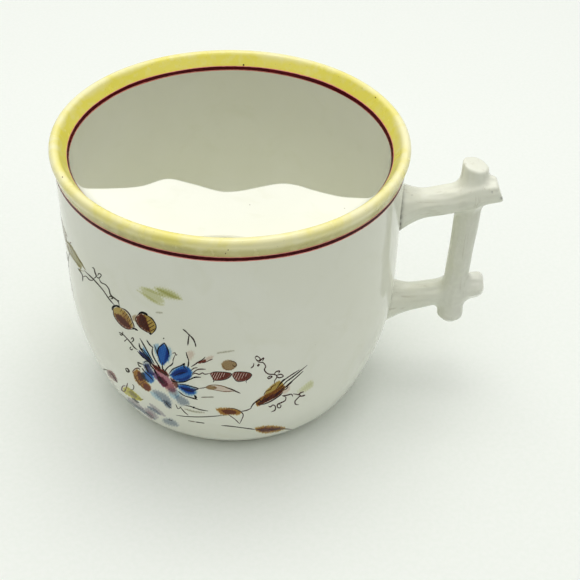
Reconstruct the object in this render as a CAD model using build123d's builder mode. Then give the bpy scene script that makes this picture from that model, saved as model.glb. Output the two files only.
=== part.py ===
"""Moustache cup: a round porcelain cup with a shelf inside its rim and a handle of three crossed twigs.

Millimetres, +Z up. The origin is the centre of the foot, on the table. The handle points along +X, and
the shelf that keeps a moustache dry is on the -Y side.
"""
import os
from math import acos, asin, atan2, cos, pi, radians, sin, sqrt, tan

from build123d import *

# ---------------------------------------------------------------- driving dimensions

# the cup's outside, from the rim down
cup_height = 82.0  # table to the crest of the rim
rim_radius = 47.5  # widest part of the rolled lip
lip_overhang = 0.95  # how far the lip stands out past the wall
lip_height = 5.4  # how far down the outside the lip flares
lip_roll_radius = 1.4  # round crest of the lip
lip_bevel_angle = 57.0  # slope of the inner bevel, down from the horizontal
belly_radius = 77.3  # long curve below the upright wall
belly_turn = 25.0  # slope from the vertical where the long curve ends
heel_radius = 11.6  # short curve into the foot
foot_radius = 34.0
foot_ring_width = 3.6
foot_ring_height = 1.3
foot_edge_radius = 0.4

# the cup's inside
wall_thickness = 4.1
floor_thickness = 5.0
base_recess = 1.6  # height of the underside inside the foot ring
inner_corner_radius = 15.0
bevel_foot_radius = 0.6  # turn from the bevel into the inner wall

# fired-on enamel, let flush into the lip
enamel_depth = 0.15
outer_line_width = 1.1
outer_line_drop = 5.7  # from the crest down to the middle of the line outside
inner_line_width = 0.9
inner_line_drop = 3.9  # from the crest down to the middle of the line inside

# the moustache shelf
guard_seat_gap = 0.8  # between the shelf's upper face and the foot of the bevel
guard_thickness = 3.4
guard_edge_radius = 1.2
shoulder_reach = 19.0  # the free edge's distance in front of the cup's axis, near its ends
shoulder_half_span = 27.5
peak_reach = 13.8
peak_half_span = 15.0
dip_reach = 18.5
slot_half_width = 10.5  # drinking slot between the shelf and the wall
slot_depth = 4.9

# the twig handle
upper_root_drop = 21.2  # from the crest down to the upper twig's root
upper_tilt = 14.0
upper_length = 26.6
upper_radius = 3.9
lower_root_height = 25.8
lower_tilt = 15.3
lower_length = 27.5
lower_radius = 4.1
root_flare = 2.8  # how much wider than its twig each root is
collar_length = 7.0  # how far out each flared root runs
root_inset = 4.0  # the twig's blank starts this far inside the wall, before it is trimmed to the wall
upright_reach = 65.2  # the upright twig's distance from the cup's axis, half way up
upright_lean = 1.4  # its top leans out by this angle
upright_radius = 3.4
top_stub = 8.7  # past the upper twig's axis
bottom_stub = 11.0  # past the lower twig's axis
twig_weave = 0.7  # each twig passes this far in front of or behind the middle plane
cut_edge_radius = 0.8
bottom_end_radius = 2.6

# ---------------------------------------------------------------- derived sizes

wall_radius = rim_radius - lip_overhang
inner_radius = wall_radius - wall_thickness
foot_inner_radius = foot_radius - foot_ring_width
floor_height = base_recess + floor_thickness

# the lip: a flare up to the round crest, then a bevel down to the inner wall
lip_foot_height = cup_height - lip_height
roll_x = rim_radius - lip_roll_radius
roll_z = cup_height - lip_roll_radius
flare_run = roll_x - wall_radius
flare_rise = roll_z - lip_foot_height
flare = atan2(flare_run, flare_rise) + asin(lip_roll_radius / sqrt(flare_run**2 + flare_rise**2))
bevel = radians(lip_bevel_angle)
bevel_x = roll_x - lip_roll_radius * sin(bevel)
bevel_z = roll_z + lip_roll_radius * cos(bevel)
bevel_foot_height = bevel_z - (bevel_x - inner_radius) * tan(bevel)

# the belly: the short heel curve meets the foot, and the long curve meets the upright wall
turn = radians(belly_turn)
belly_x = wall_radius - belly_radius
heel_x = belly_x + (belly_radius - heel_radius) * cos(turn)
foot_angle = acos((foot_radius - heel_x) / heel_radius)
heel_z = foot_ring_height + heel_radius * sin(foot_angle)
belly_z = heel_z + (belly_radius - heel_radius) * sin(turn)

# the inner wall follows the long curve at the wall's thickness, down to the floor
inner_belly_radius = belly_radius - wall_thickness
floor_angle = asin((belly_z - floor_height) / inner_belly_radius)

# the shelf lies just under the foot of the bevel
guard_top = bevel_foot_height - bevel_foot_radius * tan((pi / 2 - bevel) / 2) - guard_seat_gap

# the twigs cross in the plane y = 0, and each passes a little in front of or behind it
upper_root_height = cup_height - upper_root_drop
upper_slope = tan(radians(upper_tilt))
lower_slope = tan(radians(lower_tilt))
lean_slope = tan(radians(upright_lean))
upper_cross_height = upper_root_height + (upright_reach - wall_radius) * upper_slope
lower_cross_height = lower_root_height + (upright_reach - wall_radius) * lower_slope
cross_span = upper_cross_height - lower_cross_height
weave_slope = 2 * twig_weave / cross_span


def arc_point(x, z, radius, angle):
    """A point of the cup's section, on an arc about (x, z), at an angle below the horizontal."""
    return (x + radius * cos(angle), z - radius * sin(angle))


def upright_point(height):
    """A point on the upright twig's axis, at a height above the middle between the two crossings."""
    middle = (upper_cross_height + lower_cross_height) / 2
    return Vector(upright_reach + height * lean_slope, height * weave_slope, middle + height)


def branch_point(root_height, slope, side, distance):
    """A point on a branch's axis, at a horizontal distance outside the wall."""
    return Vector(wall_radius + distance, side * twig_weave, root_height + distance * slope)


def twig_section(start, end, radius, start_edge, end_edge, root=0.0):
    """Half section of a twig along its axis. A root of its own makes a flared collar at the start."""
    along = end - start
    length = along.length
    straight_start = root_inset + collar_length if root else start_edge
    with BuildSketch(Plane(origin=start, x_dir=along, z_dir=along.cross(Vector(0, 1, 0)))) as half:
        with BuildLine():
            if root:
                root_corner = (root_inset, radius + root)
                Polyline((0, 0), (0, radius + root), root_corner)
                TangentArc((straight_start, radius), root_corner, tangent=(-1, 0))
            else:
                Line((0, 0), (0, radius - start_edge))
                TangentArc((straight_start, radius), (0, radius - start_edge), tangent=(-1, 0))
            Line((straight_start, radius), (length - end_edge, radius))
            TangentArc((length - end_edge, radius), (length, radius - end_edge), tangent=(1, 0))
            Polyline((length, radius - end_edge), (length, 0), (0, 0))
        make_face()
    return half.sketch


# ---------------------------------------------------------------- the cup's section

# outer profile, closed to the axis: what the twigs' roots are trimmed to
with BuildSketch(Plane.XZ) as outer_section:
    with BuildLine():
        Polyline((0, 0), (foot_radius, 0), (foot_radius, foot_ring_height))
        ThreePointArc(
            (foot_radius, foot_ring_height),
            arc_point(heel_x, heel_z, heel_radius, (turn + foot_angle) / 2),
            arc_point(heel_x, heel_z, heel_radius, turn),
        )
        ThreePointArc(
            arc_point(belly_x, belly_z, belly_radius, turn),
            arc_point(belly_x, belly_z, belly_radius, turn / 2),
            (wall_radius, belly_z),
        )
        Polyline(
            (wall_radius, belly_z),
            (wall_radius, lip_foot_height),
            arc_point(roll_x, roll_z, lip_roll_radius, flare),
        )
        ThreePointArc(
            arc_point(roll_x, roll_z, lip_roll_radius, flare),
            arc_point(roll_x, roll_z, lip_roll_radius, -pi / 4),
            (bevel_x, bevel_z),
        )
        Polyline((bevel_x, bevel_z), (0, bevel_z), (0, 0))
    make_face()

# the well: bevel, inner wall, inner belly and floor
with BuildSketch(Plane.XZ) as well_section:
    with BuildLine():
        Polyline((0, bevel_z), (bevel_x, bevel_z), (inner_radius, bevel_foot_height))
        Line((inner_radius, bevel_foot_height), (inner_radius, belly_z))
        ThreePointArc(
            (inner_radius, belly_z),
            arc_point(belly_x, belly_z, inner_belly_radius, floor_angle / 2),
            arc_point(belly_x, belly_z, inner_belly_radius, floor_angle),
        )
        Polyline(
            arc_point(belly_x, belly_z, inner_belly_radius, floor_angle),
            (0, floor_height),
            (0, bevel_z),
        )
    make_face()
    bevel_foot = well_section.vertices().sort_by_distance((inner_radius, bevel_foot_height))[0]
    fillet(bevel_foot, radius=bevel_foot_radius)
    floor_corner = well_section.vertices().group_by(Axis.Y)[0].sort_by(Axis.X)[-1]
    fillet(floor_corner, radius=inner_corner_radius)

with BuildSketch(Plane.XZ) as cup_section:
    add(outer_section.sketch)
    add(well_section.sketch, mode=Mode.SUBTRACT)
    with Locations((0, base_recess / 2)):
        Rectangle(2 * foot_inner_radius, base_recess, mode=Mode.SUBTRACT)
    foot_edges = cup_section.vertices().group_by(Axis.Y)[0]
    fillet(foot_edges, radius=foot_edge_radius)

# the enamel's section: the skin of the lip and the wall, divided by height into the band and the two lines
core_wall_radius = wall_radius - enamel_depth
core_inner_radius = inner_radius + enamel_depth
core_roll_radius = lip_roll_radius - enamel_depth
core_lip_foot_height = lip_foot_height + enamel_depth * tan(flare / 2)
core_bevel_foot_height = bevel_foot_height - enamel_depth * tan((pi / 2 - bevel) / 2)
with BuildSketch(Plane.XZ) as core_section:
    with BuildLine():
        Polyline(
            (core_wall_radius, belly_z),
            (core_wall_radius, core_lip_foot_height),
            arc_point(roll_x, roll_z, core_roll_radius, flare),
        )
        ThreePointArc(
            arc_point(roll_x, roll_z, core_roll_radius, flare),
            arc_point(roll_x, roll_z, core_roll_radius, -pi / 4),
            arc_point(roll_x, roll_z, core_roll_radius, -pi / 2 - bevel),
        )
        Polyline(
            arc_point(roll_x, roll_z, core_roll_radius, -pi / 2 - bevel),
            (core_inner_radius, core_bevel_foot_height),
            (core_inner_radius, belly_z),
            (core_wall_radius, belly_z),
        )
    make_face()

with BuildSketch(Plane.XZ) as skin_section:
    add(cup_section.sketch)
    add(core_section.sketch, mode=Mode.SUBTRACT)

line_split = (wall_radius + inner_radius) / 2  # between the outside of the lip and its inside
inner_line_rise = inner_line_width * sin(bevel)
outer_line_low = cup_height - outer_line_drop - outer_line_width / 2
outer_line_high = outer_line_low + outer_line_width
inner_line_low = cup_height - inner_line_drop - inner_line_rise / 2
inner_line_high = inner_line_low + inner_line_rise


def enamel_section(zones):
    """The part of the cup's skin inside zones given as (left, bottom, right, top) in the section."""
    with BuildSketch(Plane.XZ) as enamel:
        for left, bottom, right, top in zones:
            with Locations(((left + right) / 2, (bottom + top) / 2)):
                Rectangle(right - left, top - bottom)
        add(skin_section.sketch, mode=Mode.INTERSECT)
    return enamel.sketch


band_section = enamel_section(
    [
        (line_split, outer_line_high, rim_radius, cup_height),
        (inner_radius, inner_line_high, line_split, cup_height),
    ]
)
outer_line_section = enamel_section([(line_split, outer_line_low, rim_radius, outer_line_high)])
inner_line_section = enamel_section([(inner_radius, inner_line_low, line_split, inner_line_high)])

# ---------------------------------------------------------------- body and enamel

with BuildPart() as cup_body:
    with BuildSketch(Plane.XZ):
        add(cup_section.sketch)
        add([band_section, outer_line_section, inner_line_section], mode=Mode.SUBTRACT)
    revolve(axis=Axis.Z)

with BuildPart() as rim_band:
    add(band_section)
    revolve(axis=Axis.Z)

with BuildPart() as outer_rim_line:
    add(outer_line_section)
    revolve(axis=Axis.Z)

with BuildPart() as inner_rim_line:
    add(inner_line_section)
    revolve(axis=Axis.Z)

# ---------------------------------------------------------------- moustache shelf

with BuildPart() as moustache_guard:
    end_x = sqrt(inner_radius**2 - shoulder_reach**2)
    with BuildSketch(Plane.XY.offset(guard_top)):
        with BuildLine():
            free_edge = Spline(
                (-end_x, -shoulder_reach),
                (-shoulder_half_span, -shoulder_reach),
                (-peak_half_span, -peak_reach),
                (0, -dip_reach),
                (peak_half_span, -peak_reach),
                (shoulder_half_span, -shoulder_reach),
                (end_x, -shoulder_reach),
            )
            ThreePointArc(free_edge @ 1, (0, -inner_radius), free_edge @ 0)
        make_face()
        with Locations((0, -inner_radius)):
            Ellipse(slot_half_width, slot_depth, mode=Mode.SUBTRACT)
    extrude(amount=-guard_thickness)
    level_faces = moustache_guard.faces().filter_by(Axis.Z)
    open_edges = level_faces.edges().filter_by(GeomType.CIRCLE, reverse=True)
    fillet(open_edges, radius=guard_edge_radius)

# ---------------------------------------------------------------- twig handle

# the twigs whole, their roots trimmed to the wall
with BuildPart() as wall_form:
    with BuildSketch(Plane.XZ):
        add(outer_section.sketch)
    revolve(axis=Axis.Z)

upper_start = branch_point(upper_root_height, upper_slope, -1, -root_inset)
upper_end = branch_point(upper_root_height, upper_slope, -1, upper_length)
with BuildPart() as upper_twig:
    add(twig_section(upper_start, upper_end, upper_radius, 0, cut_edge_radius, root_flare))
    revolve(axis=Axis(upper_start, upper_end - upper_start))
    add(wall_form.part, mode=Mode.SUBTRACT)

lower_start = branch_point(lower_root_height, lower_slope, 1, -root_inset)
lower_end = branch_point(lower_root_height, lower_slope, 1, lower_length)
with BuildPart() as lower_twig:
    add(twig_section(lower_start, lower_end, lower_radius, 0, cut_edge_radius, root_flare))
    revolve(axis=Axis(lower_start, lower_end - lower_start))
    add(wall_form.part, mode=Mode.SUBTRACT)

upright_start = upright_point(-cross_span / 2 - bottom_stub)
upright_end = upright_point(cross_span / 2 + top_stub)
with BuildPart() as upright_twig:
    add(
        twig_section(
            upright_start, upright_end, upright_radius, bottom_end_radius, cut_edge_radius
        )
    )
    revolve(axis=Axis(upright_start, upright_end - upright_start))

# the halves that meet where the twigs cross: -Y is the front, +Y the back
with BuildPart() as upper_front:
    add(upper_twig.part)
    split(bisect_by=Plane.XZ, keep=Keep.TOP)

with BuildPart() as lower_back:
    add(lower_twig.part)
    split(bisect_by=Plane.XZ, keep=Keep.BOTTOM)

with BuildPart() as upright_front:
    add(upright_twig.part)
    split(bisect_by=Plane.XZ, keep=Keep.TOP)

with BuildPart() as upright_back:
    add(upright_twig.part)
    split(bisect_by=Plane.XZ, keep=Keep.BOTTOM)

# the upper branch passes in front of the upright twig, and the lower branch behind it
with BuildPart() as handle_upper_branch:
    add(upper_twig.part)
    add(upright_back.part, mode=Mode.SUBTRACT)

with BuildPart() as handle_lower_branch:
    add(lower_twig.part)
    add(upright_front.part, mode=Mode.SUBTRACT)

with BuildPart() as handle_upright_branch:
    add(upright_twig.part)
    add(upper_front.part, mode=Mode.SUBTRACT)
    add(lower_back.part, mode=Mode.SUBTRACT)

# ---------------------------------------------------------------- the named pieces

pieces = {
    "cup_body": cup_body,
    "moustache_guard": moustache_guard,
    "handle_upper_branch": handle_upper_branch,
    "handle_lower_branch": handle_lower_branch,
    "handle_upright_branch": handle_upright_branch,
    "rim_band": rim_band,
    "outer_rim_line": outer_rim_line,
    "inner_rim_line": inner_rim_line,
}

os.makedirs("parts", exist_ok=True)
for name, piece in pieces.items():
    piece.part.label = name
    export_step(piece.part, f"parts/{name}.step")
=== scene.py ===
import math

import bpy
import numpy as np
from mathutils import Matrix, Vector
from mathutils.bvhtree import BVHTree


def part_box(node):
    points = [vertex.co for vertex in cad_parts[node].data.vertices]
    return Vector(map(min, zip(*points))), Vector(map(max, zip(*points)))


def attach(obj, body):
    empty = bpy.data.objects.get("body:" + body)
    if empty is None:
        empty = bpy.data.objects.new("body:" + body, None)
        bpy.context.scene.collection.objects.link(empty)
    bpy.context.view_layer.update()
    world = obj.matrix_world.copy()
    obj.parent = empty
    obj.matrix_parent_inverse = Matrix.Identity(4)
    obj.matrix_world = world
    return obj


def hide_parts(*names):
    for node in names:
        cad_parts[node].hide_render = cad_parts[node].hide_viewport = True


# Looks of the moustache cup. Shapes are worked out in millimetres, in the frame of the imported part: +Z up,
# the handle along +X, the shelf on the -Y side. They become metres when a mesh is made. Angles are in degrees
# where they are named as sizes, and in radians where they are worked with.

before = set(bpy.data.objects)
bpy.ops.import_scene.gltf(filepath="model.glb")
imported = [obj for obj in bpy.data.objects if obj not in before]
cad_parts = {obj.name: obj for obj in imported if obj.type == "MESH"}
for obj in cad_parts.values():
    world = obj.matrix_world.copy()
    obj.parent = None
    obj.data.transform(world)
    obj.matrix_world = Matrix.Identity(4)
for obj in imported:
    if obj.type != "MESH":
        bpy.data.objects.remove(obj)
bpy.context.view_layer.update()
MM = 0.001
tiny = 1e-6  # keeps divisions clear of zero

camera_lens = 68.276
camera_sensor = 36.0
picture_size = 580
picture_middle = picture_size / 2
focal_pixels = camera_lens / camera_sensor * picture_size
camera_location = Vector((13.029, -248.602, 235.857)) * MM
camera_right = Vector((0.99955, 0.0082, 0.02895))
camera_up = Vector((-0.02749, 0.63983, 0.76802))
camera_forward = Vector((0.01223, 0.76847, -0.63977))

# ---------------------------------------------------------------- sizes read from the frame


def corners(node):
    """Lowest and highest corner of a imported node, in millimetres."""
    return [np.array(corner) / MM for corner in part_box(node)]


rim_radius = corners("rim_band")[1][0]
cup_height = corners("rim_band")[1][2]
outer_line_low, outer_line_high = (corner[2] for corner in corners("outer_rim_line"))
inner_line_low, inner_line_high = (corner[2] for corner in corners("inner_rim_line"))
guard_low, guard_high = (corner[2] for corner in corners("moustache_guard"))

# ---------------------------------------------------------------- sizes of the glazed shapes

skin = 0.05  # the glazed body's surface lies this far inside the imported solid, under the enamel

# the cup's section
lip_overhang = 0.95
lip_height = 5.4
lip_roll_radius = 1.4
lip_bevel_angle = 57.0
belly_radius = 77.3
belly_turn = 25.0
heel_radius = 11.6
foot_radius = 34.0
foot_ring_width = 3.6
foot_ring_height = 1.3
foot_edge_radius = 0.4
wall_thickness = 4.1
floor_thickness = 5.0
base_recess = 1.6
inner_corner_radius = 15.0
bevel_foot_radius = 0.6
lip_lead = 3.0  # the lip's section starts this far below its foot
below_lip = 0.8
base_step = 1.5
base_step_radius = 0.6
ring_slope = (0.5, 0.35)
edge_gap = 0.2
body_columns = 384

# the hand-made cup's departures from a true round
base_shift = 0.5  # the lower half leans towards the handle
ovality = 0.12
oval_turn = 0.8
ripple = 0.05
rim_ripple = 0.35  # the share of the ripple that is left at the rim
wall_waves = [(1.0, 3, 1.3, 31), (0.8, 5, 0.0, -17), (0.5, 8, 0.0, 9)]  # size, turns, phase, rise

# the shelf's free edge on its upper face, from end to end
guard_edge = [
    (-44.0, -19.9), (-37.2, -19.6), (-30.2, -19.3), (-22.3, -17.9), (-16.0, -14.2), (-9.8, -15.9),
    (-2.4, -19.0), (0.6, -19.15), (3.6, -18.5), (10.7, -15.6), (14.5, -14.8), (18.4, -15.7),
    (22.2, -17.6), (28.5, -19.9), (33.0, -20.3), (37.3, -20.4), (44.0, -20.5),
]
guard_edge_reach = 44.0
guard_edge_shift = 0.95
guard_round = 1.3
guard_fillet = 2.4
guard_skin = 0.03
guard_drop = 0.02
guard_bury = 1.0  # how far the shelf reaches into the wall
bury_round = 0.5
slot_half_width = 10.5
slot_depth = 4.9
slot_round = 1.0
guard_box_margin = 1.2
guard_box_front = -12.0
guard_box_below, guard_box_above = 3.0, 2.0
guard_step = 0.4

# the twigs: height and tilt where each leaves the wall, length along X, radii at both ends
twig_weave = 0.7
upper_root = 60.9
upper_tilt = 14.0
upper_length = 26.6
upper_radii = (4.45, 3.65)
upper_sag = 0.55
lower_root = 25.8
lower_tilt = 15.3
lower_length = 27.5
lower_radii = (4.3, 3.6)
root_flare = 2.3
flare_reach = 8.0
upright_reach = 65.2
upright_lean = 1.4
upright_radii = (3.35, 3.65)
top_stub = 8.7
bottom_stub = 10.4
crossing_fillet = 2.6
twig_bury = 0.9  # how far the roots reach into the wall
twig_bury_round = 0.3
axis_start = -4.0
flare_limit = 1.4
upper_seed, lower_seed, upright_seed = 0.4, 2.3, 4.1
lower_soft_cut = 2.6
upright_bark = 0.5
handle_low, handle_high = (-2.2, -8.2, 13.0), (76.0, 8.2, 79.5)  # the low corner is from the wall
twig_step = 0.33

# cuts at the twigs' ends: which way each faces, and its distance past the end of the axis
upper_cuts = [((1.0, 0.0, 0.42), -0.2), ((0.72, -0.15, 0.68), 2.4)]
lower_cuts = [((1.0, -0.1, 0.20), -0.5), ((0.75, -0.45, 0.5), 1.5)]
top_cuts = [((0.20, -0.06, 1.0), -0.35)]
bottom_cuts = [((0.0, 0.0, -1.0), -0.3)]

# bark: size, ridges round the twig and their turn with the seed, then how they wander along it: by how much,
# over what length, and the turn with the seed
bark_ridges = [(0.11, 5, 1.0, 0.9, 5.1, 1.0), (0.075, 8, 2.1, 1.3, 3.7, 2.0), (0.04, 14, 3.7, 1.1, 2.3, 0.0)]
knot_size, knot_length = 0.10, 3.1

# the rounded foot of the upright twig: radius, how far it stands from the axis's end, where the stub ends
foot_ball_radius = 3.35
foot_ball_middle = (0.1, 0.0, 3.2)
foot_ball_cut = 2.6
foot_ball_fillet = 1.6
stub_round = 0.1

# ---------------------------------------------------------------- derived sizes

wall_radius = rim_radius - lip_overhang
inner_radius = wall_radius - wall_thickness
foot_inner_radius = foot_radius - foot_ring_width
floor_height = base_recess + floor_thickness
lip_foot_height = cup_height - lip_height
roll = np.array([rim_radius - lip_roll_radius, cup_height - lip_roll_radius])
flare_run = roll[0] - wall_radius
flare_rise = roll[1] - lip_foot_height
flare = math.atan2(flare_run, flare_rise) + math.asin(lip_roll_radius / math.hypot(flare_run, flare_rise))
bevel = math.radians(lip_bevel_angle)
bevel_normal = np.array([-math.sin(bevel), math.cos(bevel)])
bevel_top = roll + lip_roll_radius * bevel_normal
bevel_foot_height = bevel_top[1] - (bevel_top[0] - inner_radius) * math.tan(bevel)
turn = math.radians(belly_turn)
belly_x = wall_radius - belly_radius
heel_x = belly_x + (belly_radius - heel_radius) * math.cos(turn)
foot_angle = math.acos((foot_radius - heel_x) / heel_radius)
heel_z = foot_ring_height + heel_radius * math.sin(foot_angle)
belly_z = heel_z + (belly_radius - heel_radius) * math.sin(turn)
inner_belly_radius = belly_radius - wall_thickness
corner_z = floor_height + inner_corner_radius
corner_drop = belly_z - corner_z
corner_x = belly_x + math.sqrt((inner_belly_radius - inner_corner_radius) ** 2 - corner_drop**2)
corner_angle = math.atan2(corner_drop, corner_x - belly_x)

# ---------------------------------------------------------------- mesh helpers


def make_mesh(name, points, faces, normals=None):
    """An object from points in millimetres. Its origin stays at the frame's origin."""
    mesh = bpy.data.meshes.new(name)
    mesh.from_pydata((np.asarray(points) * MM).tolist(), [], [list(map(int, face)) for face in faces])
    mesh.update()
    mesh.shade_smooth()
    if normals is not None:
        mesh.normals_split_custom_set_from_vertices(np.asarray(normals).tolist())
    piece = bpy.data.objects.new(name, mesh)
    bpy.context.scene.collection.objects.link(piece)
    return piece


def place(piece, slot, *nodes):
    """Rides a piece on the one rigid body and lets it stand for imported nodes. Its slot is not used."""
    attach(piece, "root")
    if nodes:
        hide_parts(*nodes)
    return piece


def mark(piece, name, values):
    """A number at each point of a piece, which its material reads."""
    attribute = piece.data.attributes.new(name, "FLOAT", "POINT")
    attribute.data.foreach_set("value", np.asarray(values, np.float32))


def paint(piece, name, colours):
    """A colour and its strength at each point of a piece."""
    attribute = piece.data.attributes.new(name, "FLOAT_COLOR", "POINT")
    attribute.data.foreach_set("color", np.asarray(colours, np.float32).ravel())


def ring_faces(rows, columns, closed):
    """Quads between rows of points round the axis. closed joins the last row to the first."""
    here = np.arange(rows if closed else rows - 1)[:, None]
    there = (here + 1) % rows
    column = np.arange(columns)[None, :]
    beside = (column + 1) % columns
    corners_of_quads = (here, column), (here, beside), (there, beside), (there, column)
    return np.stack([row * columns + at for row, at in corners_of_quads], -1).reshape(-1, 4)


def smooth_min(a, b, reach):
    """The smaller of two fields, with a fillet where they meet."""
    blend = np.maximum(reach - np.abs(a - b), 0) / reach
    return np.minimum(a, b) - blend**2 * reach / 4


def smooth_max(a, b, reach):
    """The larger of two fields, with a round where they meet."""
    return -smooth_min(-a, -b, reach)


def gradient(field, points, small=0.02):
    """How fast, and which way, a field grows at each point."""
    parts = [field(points + step) - field(points - step) for step in np.eye(3) * small]
    return np.stack(parts, -1) / (2 * small)


settling_rounds = 3
least_slope = 0.05


def skin_of(field, low, high, step):
    """Points, quads and normals of the surface where a field is zero, inside a box.

    A point goes in each cell that the surface crosses and a quad round each crossed edge. Then they settle.
    """
    counts = np.ceil((np.array(high) - low) / step).astype(int) + 1
    axes = [low[i] + step * np.arange(counts[i]) for i in range(3)]
    grid = np.stack(np.meshgrid(*axes, indexing="ij"), -1).reshape(-1, 3)
    values = field(grid).reshape(counts)
    nx, ny, nz = counts - 1

    def corner(di, dj, dk):
        return values[di:di + nx, dj:dj + ny, dk:dk + nz]

    inside = sum((corner(i, j, k) < 0).astype(int) for i in (0, 1) for j in (0, 1) for k in (0, 1))
    mixed = (inside > 0) & (inside < 8)
    total = np.zeros(mixed.shape + (3,))
    crossings = np.zeros(mixed.shape)
    for axis in range(3):
        for u in (0, 1):
            for v in (0, 1):
                start = np.insert([u, v], axis, 0)
                end = np.insert([u, v], axis, 1)
                a, b = corner(*start), corner(*end)
                crosses = (a < 0) != (b < 0)
                share = np.where(crosses, a / np.where(crosses, a - b, 1), 0)
                total += crosses[..., None] * start
                total[..., axis] += share
                crossings += crosses
    cells = np.argwhere(mixed)
    points = np.array(low) + step * (cells + total[mixed] / crossings[mixed][:, None])
    index = -np.ones(mixed.shape, int)
    index[mixed] = np.arange(len(cells))
    faces = []
    for axis in range(3):
        near, far = [i for i in range(3) if i != axis]
        if axis == 1:
            near, far = far, near
        ahead = np.take(values, range(1, counts[axis]), axis) < 0
        behind = np.take(values, range(counts[axis] - 1), axis) < 0
        edges = np.argwhere(ahead != behind)
        keep = (edges[:, near] > 0) & (edges[:, far] > 0)
        keep &= (edges[:, near] < counts[near] - 1) & (edges[:, far] < counts[far] - 1)
        edges = edges[keep]
        leaving = behind[tuple(edges.T)]
        around = []
        for du, dv in ((1, 1), (0, 1), (0, 0), (1, 0)):
            cell = edges.copy()
            cell[:, near] -= du
            cell[:, far] -= dv
            around.append(index[tuple(cell.T)])
        quad = np.stack(around, -1)
        quad[~leaving] = quad[~leaving][:, ::-1]
        faces.append(quad)
    for _ in range(settling_rounds):
        slope = gradient(field, points)
        step_back = np.clip(field(points) / np.maximum((slope**2).sum(1), least_slope), -step, step)
        points = points - slope * step_back[:, None]
    normals = gradient(field, points)
    normals /= np.linalg.norm(normals, axis=1)[:, None]
    return points, np.concatenate(faces), normals


def in_use(faces):
    """Which points some faces use, and the faces with their points counted among those."""
    used, number = np.unique(faces, return_inverse=True)
    return used, number.reshape(faces.shape)


# ---------------------------------------------------------------- the cup's surface


def arc(x, z, radius, start, end, count):
    """Points of an arc in the section. Angles are in degrees, from +X towards +Z."""
    angle = np.radians(np.linspace(start, end, count))
    return np.column_stack([x + radius * np.cos(angle), z + radius * np.sin(angle)])


def line(start, end, count):
    """Points of a straight run in the section, without its end."""
    return np.linspace(start, end, count, endpoint=False)


def unround(theta, z):
    """How far the wall stands off a true round at an angle and height. It never goes out at the rim."""
    depth = np.clip((lip_foot_height - z) / lip_foot_height, 0, 1)
    lean = base_shift * np.sin(np.minimum(depth * 2, 1) * math.pi / 2) ** 2 * np.cos(theta)
    oval = -ovality * (1 - np.cos(2 * theta - oval_turn)) / 2
    waves = sum(size * (np.sin(turns * theta + at + z / rise) - 1) for size, turns, at, rise in wall_waves)
    return lean + oval + ripple * waves * (rim_ripple + (1 - rim_ripple) * depth)


def evened(points):
    """Distance from the axis with the wall's unevenness taken away, and height."""
    x, y, height = points.T
    return np.hypot(x, y) - unround(np.arctan2(y, x), height), height


def outer_wall(points):
    """Signed distance to the outside of the wall and belly, above the foot. It is negative in the cup."""
    across, height = evened(points)
    return np.hypot(across + skin - belly_x, np.minimum(height - belly_z, 0)) - belly_radius


def inner_wall(points):
    """Signed distance to the inside of the wall and the bevel. It is negative in the cup."""
    across, height = evened(points)
    past = across - skin - inner_radius
    sloped = past * bevel_normal[0] + (height - bevel_foot_height) * bevel_normal[1]
    return smooth_max(-past, sloped, bevel_foot_radius)


def lip_section(inset):
    """The lip's section from the outer wall over the crest and down the bevel to the inner wall."""
    flare_foot = np.array([wall_radius - inset, lip_foot_height + inset * math.tan(flare / 2)])
    crest = arc(*roll, lip_roll_radius - inset, -math.degrees(flare), 90 + lip_bevel_angle, 28)
    half_turn = math.tan((math.pi / 2 - bevel) / 2)
    bevel_end = np.array([inner_radius + inset, bevel_foot_height - inset * half_turn])
    slope_point = bevel_end + bevel_foot_radius * half_turn * np.array([math.cos(bevel), math.sin(bevel)])
    round_middle = slope_point - bevel_foot_radius * bevel_normal
    foot_round = arc(*round_middle, bevel_foot_radius, 90 + lip_bevel_angle, 180, 6)
    return np.vstack([
        line((wall_radius - inset, lip_foot_height - lip_lead), flare_foot, 5),
        line(flare_foot, crest[0], 12),
        crest[:-1],
        line(crest[-1], foot_round[0], 10),
        foot_round,
    ])


def cup_section():
    """The whole section, from the middle of the underside round the lip to the middle of the floor."""
    edge = foot_edge_radius
    base = base_recess + skin
    ring_in, ring_out = foot_inner_radius + skin, foot_radius - skin
    lip = lip_section(skin)
    return np.vstack([
        line((0, base), (ring_in - base_step, base), 10),
        arc(ring_in - base_step, base - base_step_radius, base_step_radius, 90, 20, 5),
        line((ring_in - ring_slope[0], edge + ring_slope[1]), (ring_in, edge), 2),
        arc(ring_in + edge, edge, edge, 180, 270, 5),
        arc(ring_out - edge, edge, edge, 270, 360, 5),
        line((ring_out, edge + edge_gap), (ring_out, foot_ring_height), 3),
        arc(heel_x, heel_z, heel_radius - skin, -math.degrees(foot_angle), -belly_turn, 18)[:-1],
        arc(belly_x, belly_z, belly_radius - skin, -belly_turn, 0, 24)[:-1],
        line((wall_radius - skin, belly_z), lip[0], 22),
        lip,
        line((inner_radius + skin, lip[-1][1] - below_lip), (inner_radius + skin, belly_z), 22),
        arc(belly_x, belly_z, inner_belly_radius + skin, 0, -math.degrees(corner_angle), 18)[:-1],
        arc(corner_x, corner_z, inner_corner_radius + skin, -math.degrees(corner_angle), -90, 14)[:-1],
        line((corner_x, floor_height - skin), (0, floor_height - skin), 12),
    ])


full_at = 20  # the unevenness fades out from this distance to the axis


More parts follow.
